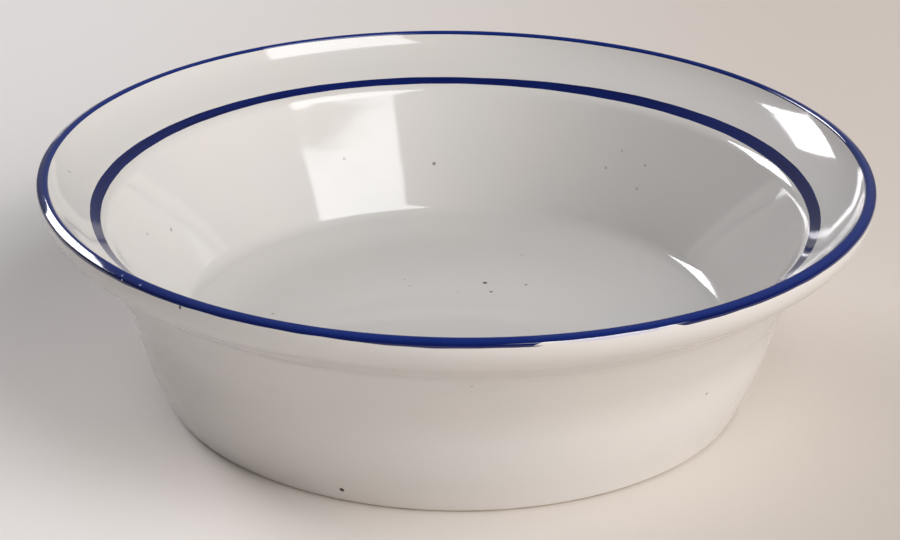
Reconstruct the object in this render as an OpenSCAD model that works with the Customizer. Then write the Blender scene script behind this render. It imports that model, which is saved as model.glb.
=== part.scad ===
// Round cereal bowl with a flared rim, a flat floor and a foot ring.
// One fired porcelain body carries two blue colour bands and a clear glaze.
// Millimetres, +Z up, origin at the middle of the foot on the table.

/* [Overall] */
// Diameter across the lip, over the glaze
bowl_d = 180; // [168:1:196]
// Height from the table to the top of the lip
bowl_h = 50.6; // [45:0.1:58]

/* [Rim] */
// Width of the rim from the lip's edge to the corner of the well, seen from above
rim_w = 14.5; // [13.5:0.1:17]
// Slope above level of the short rise just inside the lip, in degrees
rise_slope = 57; // [50:0.5:62]
// Length of the rise inside the lip
rise_len = 2.6; // [2:0.1:3.2]
// Rounding between the rise and the flare
rise_r = 14; // [6:0.5:18]
// Slope of the flare above level, in degrees
flare_slope = 42; // [38:0.5:46]
// Thickness of the rim at the middle of the flare
rim_t = 4.4; // [3.8:0.1:5]
// Slope of the rim's underside above level, in degrees
under_slope = 36; // [32:0.5:42]
// Thickness of the lip
lip_t = 2.6; // [2.4:0.1:3]
// Height of the lip band on the outside, up to the top of the lip
lip_h = 1.4; // [1.3:0.1:1.8]
// Slope of the lip's top where it falls outward, in degrees
lip_slope = 28; // [20:1:34]
// Rounding of the lip's outer edge
lip_out_r = 0.6; // [0.5:0.1:0.9]
// Rounding of the lip's inner edge
lip_in_r = 0.9; // [0.7:0.1:1.1]
// Rounding of the fold where the rim's underside meets the wall
crease_r = 6; // [3:0.5:9]

/* [Shoulder] */
// Slope above level of the flatter ledge beside the well, in degrees
ledge_slope = 34; // [28:0.5:37]
// Rounding between the ledge and the flare
ledge_r = 30; // [10:1:40]
// Rounding of the corner between the ledge and the well
shoulder_r = 5.1; // [2:0.1:6]

/* [Well] */
// Diameter at which the wall's inside meets the rising edge of the floor
well_d = 121.2; // [116:0.2:124]
// Height of the floor above the table
floor_h = 11.4; // [10:0.1:13]
// Rise of the floor's edge
edge_h = 2.2; // [1.6:0.1:2.8]
// Slope of the floor's edge above level, in degrees
edge_slope = 14; // [11:1:20]
// Rounding between the floor's edge and the floor
floor_r = 40; // [20:1:45]
// Rounding between the wall and the floor's edge
corner_r = 5.4; // [3:0.2:7]
// Depth of the slight hollow in the wall's inside, before it is rounded
wall_hollow = 0.38; // [0.1:0.02:0.6]
// Rounding of the hollow
hollow_r = 480; // [200:10:600]

/* [Outside] */
// Thickness of the wall at the corner of the well
wall_t = 4.9; // [4:0.1:5.6]
// Height of the cove where the wall starts to lean out
cove_h = 23.3; // [20:0.1:27]
// Rounding of the cove
cove_r = 34; // [20:1:45]
// Height of the slight belly low on the wall
belly_h = 12; // [9:0.1:14]
// Lean of the wall below the belly from upright, in degrees
heel_lean = 23.6; // [20:0.2:26]
// Rounding of the belly
belly_r = 60; // [30:1:80]

/* [Foot] */
// Outer diameter of the foot ring at the table
foot_d = 127.4; // [123:0.2:132]
// Width of the foot ring at the table
foot_w = 5.6; // [4.5:0.1:7]
// Lean of the foot ring's inner side from upright, in degrees
foot_lean = 24; // [10:1:30]
// Rounding of the foot ring's two edges
foot_r = 0.8; // [0.6:0.1:0.9]
// Depth of the recess under the floor
recess_h = 5; // [3.6:0.1:5.6]
// Rounding in the corner of the recess
recess_r = 3; // [1.5:0.5:4]
// Height of the bare clay left at the foot
wipe_h = 0.6; // [0.5:0.1:1]

/* [Coat and bands] */
// Thickness of the fired glaze
glaze_t = 0.35; // [0.25:0.05:0.45]
// Width of the shoulder band along the slope
band_w = 2.3; // [1.5:0.1:3.5]
// Distance along the slope from the corner of the well to the shoulder band
band_gap = 1.6; // [1.4:0.05:2.2]
// Length of ledge above the shoulder band
ledge_spare = 5; // [4:0.1:6]

/* [Hidden] */
$fn = 180;
// A round stretch leaves its true arc by no more than this
arc_gap = 0.01;
clay = "#efe9dd";
glaze_white = "#f1efeb";
cobalt = "#1c2f74";

// Vectors here are [radius, height], and a run goes up the outside and down the inside
function unit(v) = v / norm(v);
function right_of(d) = [d[1], -d[0]];
function heading(angle) = [cos(angle), sin(angle)];
function angle_of(d) = atan2(d[1], d[0]);
function turn_between(a, b) = atan2(a[0] * b[1] - a[1] * b[0], a * b);
function place(corner) = [corner[0], corner[1]];
function meet(p, d, q, e) = p + d * ((q - p) * right_of(e)) / (d * right_of(e));

// One corner of a run, turned into [point, outward normal] pairs along its round,
// which takes up the straight stretches beside it as far as reach
function round_corner(p, before, after, reach) =
    let(
        turn = turn_between(before, after),
        start = angle_of(before),
        side = sign(turn),
        r = reach / tan(abs(turn) / 2),
        centre = p - before * reach - right_of(before) * r * side,
        steps = max(1, ceil(abs(turn) / (2 * acos(1 - arc_gap / r))))
    )
    [for (i = [0 : steps])
        let(normal = right_of(heading(start + turn * i / steps)))
        [centre + normal * r * side, normal]];

// A run of corners [radius, height, rounding], its first and last points being plain ends.
// Rounds that want more than the stretch between them share it in proportion.
function skin(run) =
    let(
        last = len(run) - 1,
        legs = [for (i = [1 : last]) place(run[i]) - place(run[i - 1])],
        ways = [for (leg = legs) unit(leg)],
        wants = [
            0,
            for (i = [1 : 1 : last - 1]) run[i][2] * tan(abs(turn_between(ways[i - 1], ways[i])) / 2),
            0
        ],
        shares = [
            for (i = [0 : last - 1])
                let(wanted = wants[i] + wants[i + 1])
                wanted > norm(legs[i]) ? norm(legs[i]) / wanted : 1
        ]
    )
    [
        [place(run[0]), right_of(ways[0])],
        for (i = [1 : 1 : last - 1])
            each round_corner(place(run[i]), ways[i - 1], ways[i], wants[i] * min(shares[i - 1], shares[i])),
        [place(run[last]), right_of(ways[last - 1])]
    ];
function sunk(run, depth) = [for (s = skin(run)) s[0] - s[1] * depth];
function reversed(list) = [for (i = [len(list) - 1 : -1 : 0]) list[i]];

// Lip and flare: the lip's top falls outward, and a short steep rise runs off its inner edge into the flare
lip_c = [bowl_d / 2 - lip_t + lip_in_r, bowl_h - lip_in_r];
lip_up = heading(180 - lip_slope);
rise_in = -heading(rise_slope);
flare_in = -heading(flare_slope);
lip_top = lip_c + lip_in_r * right_of(lip_up);
lip_edge = lip_c + lip_in_r * right_of(rise_in);
lip_side = [bowl_d / 2, bowl_h - lip_h];
lip_outer = meet(lip_side, [0, 1], lip_top, lip_up);
lip_inner = meet(lip_top, lip_up, lip_edge, rise_in);
flare_top = lip_edge + rise_len * rise_in;

// Ledge and shoulder: the ledge is as long as the band that it carries
shoulder_rad = bowl_d / 2 - rim_w;
ledge_len = band_gap + band_w + ledge_spare;
ledge_up = heading(ledge_slope);
ledge_rad = shoulder_rad + ledge_len * ledge_up[0];
ledge_top = meet(flare_top, flare_in, [ledge_rad, 0], [0, 1]);
shoulder = ledge_top - ledge_len * ledge_up;
band_low = shoulder + band_gap * ledge_up;
band_high = band_low + band_w * ledge_up;

// Well: a slightly hollow wall from the shoulder to the rising edge of the floor
well_corner = [well_d / 2, floor_h + edge_h];
wall_up = unit(shoulder - well_corner);
wall_mid = (shoulder + well_corner) / 2 + wall_hollow * right_of(wall_up);
floor_edge = [well_d / 2 - edge_h / tan(edge_slope), floor_h];

// Outside: the rim's underside, the upper wall beside the well, the cove and the belly
flare_mid = (flare_top + ledge_top) / 2;
under_up = heading(under_slope);
under_mid = flare_mid - rim_t * right_of(flare_in);
upper_wall = shoulder + wall_t * right_of(wall_up);
crease = meet(under_mid, under_up, upper_wall, wall_up);
nose = meet(under_mid, under_up, lip_side, [0, 1]);
nose_r = (lip_side[1] - nose[1]) / tan((90 - under_slope) / 2);
cove = meet(upper_wall, wall_up, [0, cove_h], [1, 0]);

// Foot: the outline is taken one glaze thickness below the table, where the clay is bare
heel = [foot_d / 2, -glaze_t];
heel_up = heading(90 - heel_lean);
belly = meet(heel, heel_up, [0, belly_h], [1, 0]);
wipe_out = meet(heel, heel_up, [0, wipe_h], [1, 0]);
toe = [foot_d / 2 - foot_w, -glaze_t];
toe_up = heading(90 + foot_lean);
recess_corner = meet(toe, toe_up, [0, recess_h], [1, 0]);
wipe_in = meet(toe, toe_up, [0, wipe_h], [1, 0]);

// The glazed outline, one run for each coat or band, from the recess round to the floor
base_run = [[0, recess_h], [each recess_corner, recess_r], wipe_in];
foot_run = [wipe_in, [each toe, foot_r], [each heel, foot_r], wipe_out];
outside_run = [
    wipe_out,
    [each belly, belly_r],
    [each cove, cove_r],
    [each crease, crease_r],
    [each nose, nose_r],
    lip_side
];
lip_run = [lip_side, [each lip_outer, lip_out_r], [each lip_inner, lip_in_r], lip_edge];
flare_run = [lip_edge, [each flare_top, rise_r], [each ledge_top, ledge_r], band_high];
shoulder_run = [band_high, band_low];
well_run = [
    band_low,
    [each shoulder, shoulder_r],
    [each wall_mid, hollow_r],
    [each well_corner, corner_r],
    [each floor_edge, floor_r],
    [0, floor_h]
];
outline = [base_run, foot_run, outside_run, lip_run, flare_run, shoulder_run, well_run];

// A coat fills the glaze's thickness along one run
module coat(run) {
    rotate_extrude()
        polygon(concat(sunk(run, 0), reversed(sunk(run, glaze_t))));
}

module porcelain_body() {
    color(clay)
        rotate_extrude()
            polygon([for (run = outline) each sunk(run, glaze_t)]);
}

module lip_band() {
    color(cobalt) coat(lip_run);
}

module shoulder_band() {
    color(cobalt) coat(shoulder_run);
}

module flare_glaze() {
    color(glaze_white) coat(flare_run);
}

module well_glaze() {
    color(glaze_white) coat(well_run);
}

module outside_glaze() {
    color(glaze_white) coat(outside_run);
}

module base_glaze() {
    color(glaze_white) coat(base_run);
}

porcelain_body();
lip_band();
shoulder_band();
flare_glaze();
well_glaze();
outside_glaze();
base_glaze();
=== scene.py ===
# White cereal bowl with two blue bands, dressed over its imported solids. Metres, +Z up, standing on z = 0.
import math

import bpy
import numpy as np
from mathutils import Euler, Matrix, Vector


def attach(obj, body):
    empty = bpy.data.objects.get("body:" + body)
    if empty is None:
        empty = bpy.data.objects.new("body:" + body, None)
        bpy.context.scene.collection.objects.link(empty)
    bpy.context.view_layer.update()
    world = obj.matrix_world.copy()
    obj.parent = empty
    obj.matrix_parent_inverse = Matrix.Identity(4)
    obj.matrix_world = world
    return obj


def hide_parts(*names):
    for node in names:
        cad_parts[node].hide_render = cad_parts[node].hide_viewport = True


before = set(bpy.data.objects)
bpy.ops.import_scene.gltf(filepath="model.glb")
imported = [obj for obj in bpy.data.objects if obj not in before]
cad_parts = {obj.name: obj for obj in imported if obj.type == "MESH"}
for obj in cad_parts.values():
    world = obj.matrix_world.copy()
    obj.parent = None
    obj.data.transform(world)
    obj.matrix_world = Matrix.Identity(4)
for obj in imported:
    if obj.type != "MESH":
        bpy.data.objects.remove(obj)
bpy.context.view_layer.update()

# Porcelain body
# White porcelain clay, shaped on a wheel in a plaster mould and fired hard in one piece with its foot ring.
# The glaze covers it all but for the foot ring, which is wiped bare so that it does not stick in the kiln.
BOWL_R, BOWL_H = 0.0900, 0.0506
RIM_W, RIM_T = 0.0145, 0.0044
LIP_T, LIP_H, LIP_SLOPE, LIP_OUT_R, LIP_IN_R = 0.0026, 0.0014, 28, 0.0006, 0.0009
RISE_SLOPE, FLARE_SLOPE, LEDGE_SLOPE, UNDER_SLOPE = 57, 42, 34, 36
RISE_LEN, RISE_R, LEDGE_R, SHOULDER_R, CREASE_R = 0.0026, 0.014, 0.030, 0.0051, 0.006
WELL_R, WALL_T, WALL_HOLLOW, HOLLOW_R = 0.0606, 0.0049, 0.00038, 0.48
FLOOR_H, FLOOR_R, EDGE_H, EDGE_SLOPE, CORNER_R = 0.0114, 0.040, 0.0022, 14, 0.0054
COVE_H, COVE_R, BELLY_H, BELLY_R = 0.0233, 0.034, 0.012, 0.060
FOOT_R, FOOT_W, FOOT_EDGE = 0.0637, 0.0056, 0.0008
HEEL_LEAN, FOOT_LEAN = 23.6, 24
RECESS_H, RECESS_R, WIPE_H = 0.005, 0.003, 0.0006
GLAZE_T = 0.00035
BAND_W, BAND_GAP, LEDGE_SPARE = 0.0023, 0.0016, 0.005

# The section is a chain of [radius, height] points that goes up the outside and down the inside
UP, OUT = np.array([0.0, 1.0]), np.array([1.0, 0.0])
ARC_STEP, TURN_STEP, LINE_STEP = 3, 0.6, 0.0018
ON_AXIS = 1e-7


def heading(degrees):
    return np.array([math.cos(math.radians(degrees)), math.sin(math.radians(degrees))])


def right_of(v):
    return np.array([v[1], -v[0]])


def unit(v):
    return v / np.linalg.norm(v)


def meet(p, d, q, e):
    """Where the line through p along d crosses the line through q along e."""
    return p + d * ((q - p) @ right_of(e)) / (d @ right_of(e))


def rounding(corner, before, turn, reach):
    """Points and outward normals of a rounded corner, which takes reach of the lines beside it."""
    start = math.degrees(math.atan2(before[1], before[0]))
    r = reach / math.tan(turn / 2)
    centre = corner - before * reach - right_of(before) * r
    steps = math.ceil(max(abs(math.degrees(turn)) / ARC_STEP, r * turn / LINE_STEP))
    normals = [right_of(heading(start + math.degrees(turn) * i / steps)) for i in range(steps + 1)]
    return [(centre + n * r, n) for n in normals]


def skin(run):
    """Points and outward normals along a run of (place, rounding) corners, with plain first and last ones.

    Rounds that want more than the stretch between them share it in proportion.
    """
    places = [np.asarray(place, float) for place, r in run]
    legs = [np.linalg.norm(b - a) for a, b in zip(places, places[1:])]
    ways = [unit(b - a) for a, b in zip(places, places[1:])]
    turns = [math.atan2(a[0] * b[1] - a[1] * b[0], a @ b) for a, b in zip(ways, ways[1:])]
    wants = [0, *(r * math.tan(abs(turn) / 2) for (place, r), turn in zip(run[1:-1], turns)), 0]
    shares = [leg / max(leg, a + b) for leg, a, b in zip(legs, wants, wants[1:])]
    bent = [(places[0], right_of(ways[0]))]
    for i in range(1, len(run) - 1):
        bent += rounding(places[i], ways[i - 1], turns[i - 1], wants[i] * min(shares[i - 1 : i + 1]))
    bent.append((places[-1], right_of(ways[-1])))
    filled = bent[:1]
    for (p, n), (q, m) in zip(bent, bent[1:]):
        steps = math.ceil(np.linalg.norm(q - p) / LINE_STEP)
        filled += [(p + (q - p) * i / steps, unit(n + (m - n) * i / steps)) for i in range(1, steps + 1)]
    return filled


lip_c = np.array([BOWL_R - LIP_T + LIP_IN_R, BOWL_H - LIP_IN_R])
lip_up, rise_in, flare_in = heading(180 - LIP_SLOPE), -heading(RISE_SLOPE), -heading(FLARE_SLOPE)
lip_top, lip_edge = lip_c + LIP_IN_R * right_of(lip_up), lip_c + LIP_IN_R * right_of(rise_in)
lip_side = np.array([BOWL_R, BOWL_H - LIP_H])
lip_outer = meet(lip_side, UP, lip_top, lip_up)
lip_inner = meet(lip_top, lip_up, lip_edge, rise_in)
flare_top = lip_edge + RISE_LEN * rise_in
ledge_up = heading(LEDGE_SLOPE)
ledge_len = BAND_GAP + BAND_W + LEDGE_SPARE
ledge_top = meet(flare_top, flare_in, OUT * (BOWL_R - RIM_W + ledge_len * ledge_up[0]), UP)
shoulder = ledge_top - ledge_len * ledge_up
band_low = shoulder + BAND_GAP * ledge_up
band_high = band_low + BAND_W * ledge_up
well_corner = np.array([WELL_R, FLOOR_H + EDGE_H])
wall_up = unit(shoulder - well_corner)
wall_mid = (shoulder + well_corner) / 2 + WALL_HOLLOW * right_of(wall_up)
floor_edge = np.array([WELL_R - EDGE_H / math.tan(math.radians(EDGE_SLOPE)), FLOOR_H])
under_up = heading(UNDER_SLOPE)
under_mid = (flare_top + ledge_top) / 2 - RIM_T * right_of(flare_in)
upper_wall = shoulder + WALL_T * right_of(wall_up)
crease = meet(under_mid, under_up, upper_wall, wall_up)
nose = meet(under_mid, under_up, lip_side, UP)
nose_r = (lip_side[1] - nose[1]) / math.tan(math.radians(90 - UNDER_SLOPE) / 2)
cove = meet(upper_wall, wall_up, UP * COVE_H, OUT)
heel, toe = np.array([FOOT_R, -GLAZE_T]), np.array([FOOT_R - FOOT_W, -GLAZE_T])
heel_up, toe_up = heading(90 - HEEL_LEAN), heading(90 + FOOT_LEAN)
belly = meet(heel, heel_up, UP * BELLY_H, OUT)
wipe_out = meet(heel, heel_up, UP * WIPE_H, OUT)
recess_corner = meet(toe, toe_up, UP * RECESS_H, OUT)
wipe_in = meet(toe, toe_up, UP * WIPE_H, OUT)

runs = {
    "base": [(UP * RECESS_H, 0), (recess_corner, RECESS_R), (wipe_in, 0)],
    "foot": [(wipe_in, 0), (toe, FOOT_EDGE), (heel, FOOT_EDGE), (wipe_out, 0)],
    "outside": [
        (wipe_out, 0),
        (belly, BELLY_R),
        (cove, COVE_R),
        (crease, CREASE_R),
        (nose, nose_r),
        (lip_side, 0),
    ],
    "lip": [(lip_side, 0), (lip_outer, LIP_OUT_R), (lip_inner, LIP_IN_R), (lip_edge, 0)],
    "flare": [(lip_edge, 0), (flare_top, RISE_R), (ledge_top, LEDGE_R), (band_high, 0)],
    "shoulder": [(band_high, 0), (band_low, 0)],
    "well": [
        (band_low, 0),
        (shoulder, SHOULDER_R),
        (wall_mid, HOLLOW_R),
        (well_corner, CORNER_R),
        (floor_edge, FLOOR_R),
        (UP * FLOOR_H, 0),
    ],
}

# One chain for the whole section, and how far along it each run ends
chain = skin(runs["base"])
ends = {"base": len(chain) - 1}
for run in list(runs)[1:]:
    chain += skin(runs[run])[1:]
    ends[run] = len(chain) - 1
chain_points = np.array([p for p, n in chain])
chain_normals = np.array([n for p, n in chain])
chain_len = np.concatenate([[0], np.cumsum(np.linalg.norm(np.diff(chain_points, axis=0), axis=1))])
ends = {run: chain_len[i] for run, i in ends.items()}
ANGLES = np.radians(np.arange(0, 360, TURN_STEP))


def section(lengths, depth):
    """Points that lie depth under the glazed surface, and its normals, at these lengths along the chain."""
    points = np.stack([np.interp(lengths, chain_len, chain_points[:, i]) for i in (0, 1)], axis=-1)
    normals = np.stack([np.interp(lengths, chain_len, chain_normals[:, i]) for i in (0, 1)], axis=-1)
    normals /= np.linalg.norm(normals, axis=-1, keepdims=True)
    return points - normals * depth, normals


def spin(flat):
    """A ring of [radius, height] pairs, one for each angle, turned to its place about Z."""
    return np.column_stack([flat[:, 0] * np.cos(ANGLES), flat[:, 0] * np.sin(ANGLES), flat[:, 1]])


def turned(name, rings, strips):
    """A mesh about Z. A strip joins two rings, and holds the normals along its two edges."""
    points, first = [], []
    for ring in rings:
        pole = ring[:, 0].max() < ON_AXIS
        first.append((len(points), 0 if pole else 1))
        points += spin(ring).tolist()[: 1 if pole else None]
    here = np.arange(len(ANGLES))
    ahead = np.roll(here, -1)
    faces, corners = [], []
    for a, b, a_normals, b_normals in strips:
        sides = [(a, here), (a, ahead), (b, ahead), (b, here)]
        if not first[a][1]:
            del sides[1]
        if not first[b][1]:
            del sides[-1]
        turned_normals = {a: spin(a_normals), b: spin(b_normals)}
        faces += np.stack([first[k][0] + j * first[k][1] for k, j in sides], axis=1).tolist()
        corners.append(np.stack([turned_normals[k][j] for k, j in sides], axis=1).reshape(-1, 3))
    mesh = bpy.data.meshes.new(name)
    mesh.from_pydata(points, [], faces)
    mesh.shade_smooth()
    mesh.normals_split_custom_set(np.concatenate(corners).tolist())
    piece = bpy.data.objects.new(name, mesh)
    bpy.context.scene.collection.objects.link(piece)
    return piece


class Shade:
    """An output of a node in a material or the room. Sums add Math nodes, and node() adds any other."""

    def __init__(self, tree, socket=None):
        self.tree = tree
        self.socket = socket

    def node(self, kind, settings, inputs, output=0):
        made = self.tree.nodes.new("ShaderNode" + kind)
        for name, value in settings.items():
            setattr(made, name, value)
        for name, value in inputs.items():
            if isinstance(value, Shade):
                self.tree.links.new(value.socket, made.inputs[name])
            else:
                made.inputs[name].default_value = value
        return Shade(self.tree, made.outputs[output] if made.outputs else None)

    def math(self, operation, a, b):
        return self.node("Math", {"operation": operation}, {0: a, 1: b})

    def __add__(self, other):
        return self.math("ADD", self, other)

    def __radd__(self, other):
        return self.math("ADD", other, self)

    def __sub__(self, other):
        return self.math("SUBTRACT", self, other)

    def __rsub__(self, other):
        return self.math("SUBTRACT", other, self)

    def __mul__(self, other):
        return self.math("MULTIPLY", self, other)

    def __rmul__(self, other):
        return self.math("MULTIPLY", other, self)

    def noise(self, scale, detail, stretch=(1, 1, 1)):
        """Noise of about scale waves a metre, drawn out or pressed together along X, Y and Z."""
        spot = self.node("TexCoord", {}, {}, output="Object")
        spot = self.node("VectorMath", {"operation": "MULTIPLY"}, {0: spot, 1: stretch})
        return self.node("TexNoise", {}, {"Vector": spot, "Scale": scale, "Detail": detail})

    def step(self, value, low, high, to_low=0.0, to_high=1.0):
        """Goes smoothly from to_low to to_high as value goes from low to high."""
        limits = {"From Min": low, "From Max": high, "To Min": to_low, "To Max": to_high}
        return self.node("MapRange", {"interpolation_type": "SMOOTHSTEP"}, {"Value": value, **limits})

    def mix(self, share, a, b):
        """Colour a, turning to colour b as share goes from 0 to 1."""
        return self.node("Mix", {"data_type": "RGBA"}, {0: share, 6: a, 7: b}, output=2)

    def surface(self, inputs):
        shader = self.node("BsdfPrincipled", {}, inputs)
        self.node("OutputMaterial", {}, {"Surface": shader})


def new_finish(name):
    """An empty material, and the Shade that its nodes are added by."""
    material = bpy.data.materials.new(name)
    material.use_nodes = True
    material.node_tree.nodes.clear()
    return material, Shade(material.node_tree)


def fit(piece, material, node):
    """Puts a finished piece in the place of its CAD node."""
    piece.data.materials.append(material)
    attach(piece, "root")
    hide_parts(node)


CLAY, CLAY_DARK = (0.68, 0.62, 0.53, 1), (0.47, 0.41, 0.33, 1)
CLAY_GRAIN, CLAY_BLOTCH, GRAIN_DEPTH = 1800, 220, 0.0002
bare_clay, shade = new_finish("bare_clay")
grain = shade.noise(CLAY_GRAIN, 3)
clay_bump = shade.node("Bump", {}, {"Height": grain, "Strength": 0.25, "Distance": GRAIN_DEPTH})
clay_colour = shade.mix(shade.step(shade.noise(CLAY_BLOTCH, 3), 0.35, 0.75), CLAY, CLAY_DARK)
shade.surface(
    {
        "Base Color": clay_colour,
        "Roughness": shade.step(grain, 0.3, 0.7, 0.7, 0.9),
        "Normal": clay_bump,
    }
)
whole = np.tile(np.append(chain_len[:-1:2], chain_len[-1])[:, None], len(ANGLES))
clay_rings, clay_normals = section(whole, GLAZE_T)
clay_strips = [(k, k + 1, clay_normals[k], clay_normals[k + 1]) for k in range(len(whole) - 1)]
body = turned("porcelain_body", clay_rings, clay_strips)
fit(body, bare_clay, "porcelain_body")

# Lip band
# Cobalt colour laid on the lip with a loaded brush while the bowl turned on a wheel, and sunk into the glaze
# by the fire. The brush left its edges a little uneven, and ran dry for a short stretch at the front.
DRY_FROM, DRY_TO, DRY_SOFT, DRY_RISE = -80.3, -61.8, 2, 0.0007
EASE_STEPS, EDGE_CLEAR = 31, 1e-6
COBALT, COBALT_DEEP, COBALT_PALE_AND_LIT = (0.002, 0.010, 0.105, 1), (0.001, 0.004, 0.055, 1), (0.006, 0.027, 0.21, 1)
# Painted light: between these heights the band turns paler towards the lip's top, for the light from above.
LIT_TOP_FROM, LIT_TOP_TO = BOWL_H - 0.0008, BOWL_H - 0.0002
BRUSH_STREAK, COLOUR_POOL = (14, 14, 2600), 60
GLAZE_IOR = 1.65


def sway(*waves):
    """A slow unevenness round the bowl, from (height, waves in a turn, degrees) triples."""
    return sum(size * np.sin(count * ANGLES + math.radians(shift)) for size, count, shift in waves)


def wander(*marks):
    """How far a hand-drawn edge strays round the bowl, eased between (degrees, metres) marks."""
    degrees, strays = zip(*marks)
    line = np.interp(np.degrees(ANGLES), degrees, strays, period=360)
    soft = np.hanning(EASE_STEPS)
    return np.convolve(np.tile(line, 3), soft / soft.sum(), "same")[len(line) : 2 * len(line)]


def between(low, high, soft):
    """1 between two angles in degrees and 0 outside them, easing over soft degrees."""
    degrees = (np.degrees(ANGLES) + 180) % 360 - 180
    rise = np.clip((degrees - low) / soft + 0.5, 0, 1)
    fall = np.clip((high - degrees) / soft + 0.5, 0, 1)
    eased = rise * fall
    return eased * eased * (3 - 2 * eased)


low_edge = wander((-140, -0.0001), (-124, 0.0003), (-104, 0.0004), (-96, -0.0001), (-83, 0.00005), (-58, 0))
low_edge += DRY_RISE * between(DRY_FROM, DRY_TO, DRY_SOFT)
lip_low = ends["outside"] + low_edge + sway((0.00003, 41, 75), (0.00003, 67, 10))
high_edge = wander((-150, 0.0001), (-50, 0.0002), (-20, 0.0001), (60, 0.0003), (140, 0.0001), (180, 0.0001))
lip_high = ends["lip"] + high_edge + sway((0.00003, 5, 10), (0.00002, 17, 60))


def coat(name, start, end, nominal):
    """A layer of glaze or colour, from start to end along the chain, each given for every angle."""
    low, high = nominal
    inside = chain_len[(chain_len > low + EDGE_CLEAR) & (chain_len < high - EDGE_CLEAR)]
    share = (np.concatenate([[low], inside, [high]]) - low) / (high - low)
    lengths = start + share[:, None] * (end - start)
    top, normals = section(lengths, 0)
    under = section(lengths, GLAZE_T)[0]
    last = len(share) - 1
    rings = np.concatenate([top, under])
    travel = np.stack([-normals[..., 1], normals[..., 0]], axis=-1)
    strips = [(k, k + 1, normals[k], normals[k + 1]) for k in range(last)]
    strips += [(last + 2 + k, last + 1 + k, -normals[k + 1], -normals[k]) for k in range(last)]
    if top[0, :, 0].max() > ON_AXIS:
        strips.append((last + 1, 0, -travel[0], -travel[0]))
    if top[last, :, 0].max() > ON_AXIS:
        strips.append((last, 2 * last + 1, travel[last], travel[last]))
    return turned(name, rings, strips)


def stained(shade, colour, stains):
    """Colour with soft marks: (colour, share, angle, height, half width, half height), in degrees and mm."""
    spot = shade.node("TexCoord", {}, {}, output="Object")
    x, y, z = (shade.node("SeparateXYZ", {}, {"Vector": spot}, output=axis) for axis in "XYZ")
    turn = shade.math("ARCTAN2", y, x)
    for tint, share, angle, height, half_wide, half_high in stains:
        across = (turn - math.radians(angle)) * (1 / math.radians(half_wide))
        up = (z - height / 1000) * (1000 / half_high)
        colour = shade.mix(shade.step(across * across + up * up, 1, 0.25, 0, share), colour, tint)
    return colour


def cobalt(name, stains=()):
    """Glossy blue, streaked along the brush's way, paler in random pools, and painted paler towards the lip's
    top as if lit from above.
    """
    material, shade = new_finish(name)
    streak = shade.noise(1, 2, BRUSH_STREAK)
    pool = shade.noise(COLOUR_POOL, 2)
    colour = shade.mix(shade.step(streak, 0.35, 0.75), COBALT, COBALT_DEEP)
    spot = shade.node("TexCoord", {}, {}, output="Object")
    height = shade.node("SeparateXYZ", {}, {"Vector": spot}, output="Z")
    # Painted light: paler towards the lip's top for the light it catches from above; the pool share is random
    # tone.
    pale_and_lit_share = shade.step(pool, 0.55, 0.85, 0, 0.2) + shade.step(height, LIT_TOP_FROM, LIT_TOP_TO, 0, 0.6)
    colour = shade.mix(pale_and_lit_share, colour, COBALT_PALE_AND_LIT)
    colour = stained(shade, colour, stains)
    gloss = shade.step(pool, 0.3, 0.7, 0.05, 0.09)
    shade.surface({"Base Color": colour, "Roughness": gloss, "IOR": GLAZE_IOR})
    return material


lip_band = coat("lip_band", lip_low, lip_high, (ends["outside"], ends["lip"]))
PINHOLE = (0.38, 0.45, 0.70, 1)
LIP_STAINS = [
    (PINHOLE, 0.6, -136.8, 50.24, 0.2, 0.14),
    (PINHOLE, 0.9, -136.3, 49.72, 0.2, 0.2),
    (PINHOLE, 0.6, -133.1, 50.14, 0.25, 0.14),
]
fit(lip_band, cobalt("lip_cobalt", LIP_STAINS), "lip_band")

# Shoulder band
# A second line of the same cobalt, brushed on just above the corner where the rim drops into the well,
# and sunk into the glaze by the same fire. Its edges wander as the hand did.
high_stray = wander((0, 0), (27, -0.00045), (60, -0.0001), (84, 0.00048), (120, 0.00018), (180, -0.00034))
low_stray = wander((0, 0.00044), (36, 0.00006), (66, 0.00036), (90, 0.00014), (123, -0.00007), (180, 0.00002))
shoulder_high = ends["flare"] + high_stray + sway((0.00002, 17, 40), (0.00002, 43, 0))
shoulder_low = ends["shoulder"] + low_stray + sway((0.00002, 19, 0), (0.00002, 47, 50))
shoulder_band = coat("shoulder_band", shoulder_high, shoulder_low, (ends["flare"], ends["shoulder"]))
fit(shoulder_band, cobalt("shoulder_cobalt"), "shoulder_band")

# Flare glaze
# Clear glaze on the sloping rim between the bands, dipped on and fired to a gloss.
# Iron in the clay shows through it as tiny dark specks.
GLAZE, GLAZE_COOL = (0.655, 0.63, 0.607, 1), (0.64, 0.625, 0.61, 1)
IRON = (0.020, 0.017, 0.015, 1)
SPECK_OUT, SPECK_IN = 0.00065, 0.00035
MOTTLE, SWELL, PITTING, TURNING_MARKS, SWELL_DEPTH = 45, 38, 130, (60, 60, 700), 0.0003


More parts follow.
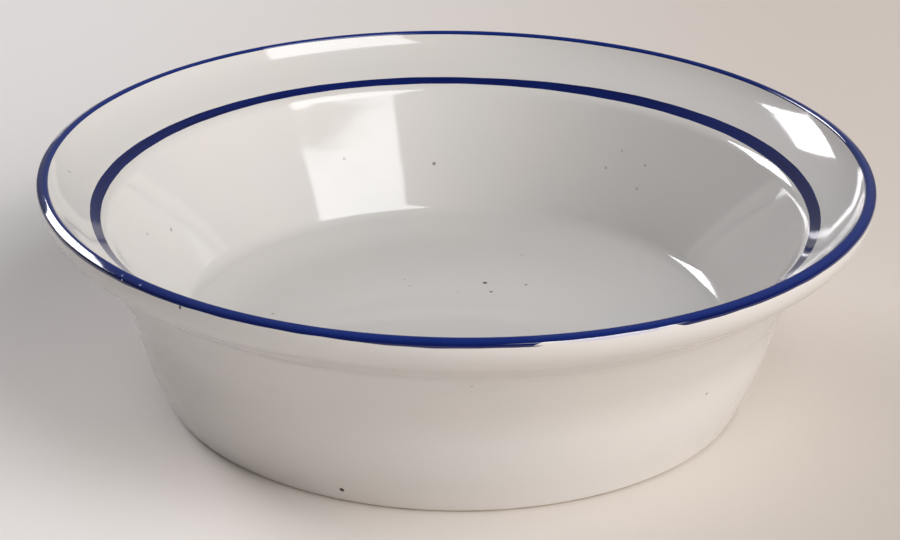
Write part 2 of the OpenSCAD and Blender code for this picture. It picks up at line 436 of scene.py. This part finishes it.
def white_glaze(name, specks, stains=()):
    """Glossy white, faintly mottled. Specks are (angle, radius, height, size, darkness) in degrees and mm."""
    material, shade = new_finish(name)
    mottle = shade.noise(MOTTLE, 3)
    colour = shade.mix(shade.step(mottle, 0.3, 0.7), GLAZE, GLAZE_COOL)
    for angle, radius, height, size, darkness in specks:
        turn = math.radians(angle)
        spot = Vector((radius * math.cos(turn), radius * math.sin(turn), height)) / 1000
        away = shade.node("TexCoord", {}, {}, output="Object")
        away = shade.node("VectorMath", {"operation": "DISTANCE"}, {0: away, 1: spot}, output="Value")
        share = shade.step(away, SPECK_OUT * size, SPECK_IN * size, 0, darkness)
        colour = shade.mix(share, colour, IRON)
    colour = stained(shade, colour, stains)
    wave = shade.noise(SWELL, 1) + 0.12 * shade.noise(PITTING, 2) + 0.015 * shade.noise(1, 2, TURNING_MARKS)
    ripple = shade.node("Bump", {}, {"Height": wave, "Strength": 0.55, "Distance": SWELL_DEPTH})
    shade.surface(
        {
            "Base Color": colour,
            "Roughness": shade.step(mottle, 0.3, 0.7, 0.06, 0.09),
            "IOR": GLAZE_IOR,
            "Normal": ripple,
        }
    )
    return material


flare_glaze = coat("flare_glaze", lip_high, shoulder_high, (ends["lip"], ends["flare"]))
fit(flare_glaze, white_glaze("rim_glaze", [(178.3, 84.4, 46.3, 0.8, 0.35)]), "flare_glaze")

# Well glaze
# The same clear glaze, from the same dip, over the corner of the shoulder, down the inner wall and across
# the flat floor. Most of the iron specks show here.
FLOOR_MM = 1000 * FLOOR_H
WELL_SPECKS = [
    (73.8, 24.9, FLOOR_MM, 1.1, 0.95),
    (66.3, 20.7, FLOOR_MM, 0.8, 0.8),
    (54.6, 28.3, FLOOR_MM, 0.8, 0.6),
    (68.6, 43.3, FLOOR_MM, 0.7, 0.3),
    (172.2, 41.1, FLOOR_MM, 0.8, 0.4),
    (114.7, 27.6, FLOOR_MM, 0.6, 0.3),
    (115.4, 24.0, FLOOR_MM, 0.6, 0.3),
    (87.7, 18.7, FLOOR_MM, 0.6, 0.25),
    (23.4, 57.2, 12.3, 0.7, 0.25),
    (113.4, 68.1, 26.5, 0.75, 0.35),
    (94.6, 66.7, 23.9, 0.85, 0.6),
    (162.9, 67.6, 25.5, 0.9, 0.45),
    (172.1, 69.5, 28.8, 0.8, 0.35),
    (58.2, 68.3, 26.7, 0.7, 0.35),
    (55.8, 70.7, 31.0, 0.7, 0.25),
    (49.8, 66.9, 24.2, 0.7, 0.35),
    (49.8, 69.7, 29.3, 0.7, 0.35),
    (17.1, 76.2, 40.4, 0.7, 0.3),
]
well_end = np.full(len(ANGLES), ends["well"])
well_glaze = coat("well_glaze", shoulder_low, well_end, (ends["shoulder"], ends["well"]))
fit(well_glaze, white_glaze("well_glaze", WELL_SPECKS), "well_glaze")

# Outside glaze
# Clear glaze on the outside, from the lip, under the rim and down the wall to the line where the foot was
# wiped. Where the brush ran dry, a wash of blue stains it just under the lip.
OUTSIDE_SPECKS = [
    (-110.1, 65.4, 3.5, 1.05, 1.0),
    (-43.4, 71.0, 19.8, 0.7, 0.5),
    (-32.3, 65.4, 3.5, 0.7, 0.4),
    (-87.6, 78.8, 35.7, 0.6, 0.3),
]
WASHED = (0.42, 0.41, 0.68, 1)
OUTSIDE_STAINS = [
    (WASHED, 0.5, -70, 49.9, 9.5, 0.75),
    (COBALT_DEEP, 0.9, -81, 49.28, 1.7, 0.16),
    (COBALT_DEEP, 0.95, -125.8, 49.05, 0.25, 0.5),
]
outside_start = np.full(len(ANGLES), ends["foot"])
outside_glaze = coat("outside_glaze", outside_start, lip_low, (ends["foot"], ends["outside"]))
fit(outside_glaze, white_glaze("outer_glaze", OUTSIDE_SPECKS, OUTSIDE_STAINS), "outside_glaze")

# Base glaze
# The patch of clear glaze in the recess inside the foot ring, left from dipping the bowl.
# The wiped ring parts it from the rest.
base_start, base_end = np.zeros(len(ANGLES)), np.full(len(ANGLES), ends["base"])
base_glaze = coat("base_glaze", base_start, base_end, (0, ends["base"]))
fit(base_glaze, white_glaze("base_glaze", []), "base_glaze")

# Table
# A plain pale sheet of paper that the bowl stands on, wide enough for its shadow from every side.
# Its colour is painted light: warm on the right, and greyer and paler on the left, lifting the shade there.
TABLE_SIDE = 4.0
# Painted light: the paler grey colour stands for cooler light and lifted shade on the left.
TABLE, TABLE_PAINTED_COOL_LIGHT = (0.67, 0.605, 0.55, 1), (0.84, 0.815, 0.80, 1)
PAINTED_WARM_FROM, PAINTED_COOL_FROM = 0.12, -0.14
FIBRE, FIBRE_DEPTH = 700, 0.0003
table_paper, shade = new_finish("table_paper")
fibre = shade.noise(FIBRE, 5)
spot = shade.node("TexCoord", {}, {}, output="Object")
across = shade.node("SeparateXYZ", {}, {"Vector": spot}, output="X")
# Painted light: the share of the paler, cooler colour towards the left, with a little random fibre tone.
painted_light_share = shade.step(across, PAINTED_WARM_FROM, PAINTED_COOL_FROM) + 0.1 * (fibre - 0.5)
shade.surface(
    {
        "Base Color": shade.mix(painted_light_share, TABLE, TABLE_PAINTED_COOL_LIGHT),
        "Roughness": 0.75,
        "Normal": shade.node("Bump", {}, {"Height": fibre, "Strength": 0.15, "Distance": FIBRE_DEPTH}),
    }
)
mesh = bpy.data.meshes.new("table")
half = TABLE_SIDE / 2
mesh.from_pydata([(-half, -half, 0), (half, -half, 0), (half, half, 0), (-half, half, 0)], [], [(0, 1, 2, 3)])
mesh.materials.append(table_paper)
table = bpy.data.objects.new("table", mesh)
bpy.context.scene.collection.objects.link(table)

# Lights
# A soft panel high on the right in front, a window behind on the left, a wide fill low on the right
# in front that leaves no reflection, and a dim room that is brighter behind.
AIM = Vector((0, 0, 0.03))
KEY_FAR, FILL_FAR = 1.2, 3.0
WINDOW_SPOT = Vector((-1.2, 1.43, 1.01))
ROOM_FRONT, ROOM_BACK = 0.06, 0.22


def toward(azimuth, elevation):
    """A direction from the bowl, in degrees. Azimuth 0 is the camera's side, and 90 is the right."""
    a, e = math.radians(azimuth), math.radians(elevation)
    return Vector((math.sin(a) * math.cos(e), -math.cos(a) * math.cos(e), math.sin(e)))


def panel(name, place, back, roll, width, height, radiance, colour):
    """A soft panel at a place. Back is where its dark side looks, and roll turns it about that direction."""
    light = bpy.data.lights.new(name, "AREA")
    light.shape = "RECTANGLE"
    light.size, light.size_y = width, height
    light.energy = radiance * math.pi * width * height
    light.color = colour
    lamp = bpy.data.objects.new(name, light)
    lamp.location = place
    facing = back.to_track_quat("Z", "Y").to_matrix().to_4x4()
    lamp.rotation_euler = (facing @ Matrix.Rotation(math.radians(roll), 4, "Z")).to_euler()
    bpy.context.scene.collection.objects.link(lamp)
    return lamp


key_way, window_way, fill_way = toward(48.3, 49.3), toward(-90, 0), toward(48, 24)
panel(
    "key_panel",
    AIM + KEY_FAR * key_way,
    key_way,
    roll=-10.6,
    width=0.731,
    height=0.618,
    radiance=4.7,
    colour=(0.935, 0.965, 1.0),
)
panel(
    "window_panel",
    WINDOW_SPOT,
    window_way,
    roll=-13.5,
    width=1.26,
    height=0.64,
    radiance=13.4,
    colour=(0.985, 0.965, 1.0),
)
fill = panel(
    "fill_panel",
    AIM + FILL_FAR * fill_way,
    fill_way,
    roll=0,
    width=4.8,
    height=2.2,
    radiance=3.05,
    colour=(1.0, 0.94, 0.88),
)
fill.visible_glossy = False
world = bpy.data.worlds.new("room")
bpy.context.scene.world = world
world.use_nodes = True
world.node_tree.nodes.clear()
room = Shade(world.node_tree)
way = room.node("TexCoord", {}, {}, output="Generated")
behind = room.node("VectorMath", {"operation": "DOT_PRODUCT"}, {0: way, 1: toward(180, 15)}, output="Value")
level = room.step(behind, 0.3, 0.9, ROOM_FRONT, ROOM_BACK)
glow = room.node("Background", {}, {"Color": (1, 1, 1, 1), "Strength": level})
room.node("OutputWorld", {}, {"Surface": glow})

# Camera
# Stands where the photograph was taken from, half a metre in front of the bowl and a quarter of a metre
# up, looking down at it and turned a little about its own axis.
LENS, SENSOR_W, CAMERA_PITCH, CAMERA_ROLL = 104.78, 36, 23.94, 0.69
CAMERA_SPOT = (-0.001145, -0.527190, 0.259194)
camera = bpy.data.objects.new("camera", bpy.data.cameras.new("camera"))
camera.data.lens = LENS
camera.data.sensor_width = SENSOR_W
camera.location = CAMERA_SPOT
tilt = Euler((math.radians(90 - CAMERA_PITCH), 0, 0)).to_matrix().to_4x4()
camera.rotation_euler = (tilt @ Matrix.Rotation(math.radians(CAMERA_ROLL), 4, "Z")).to_euler()
bpy.context.scene.collection.objects.link(camera)
bpy.context.scene.camera = camera
bpy.context.scene.view_settings.view_transform = "Standard"
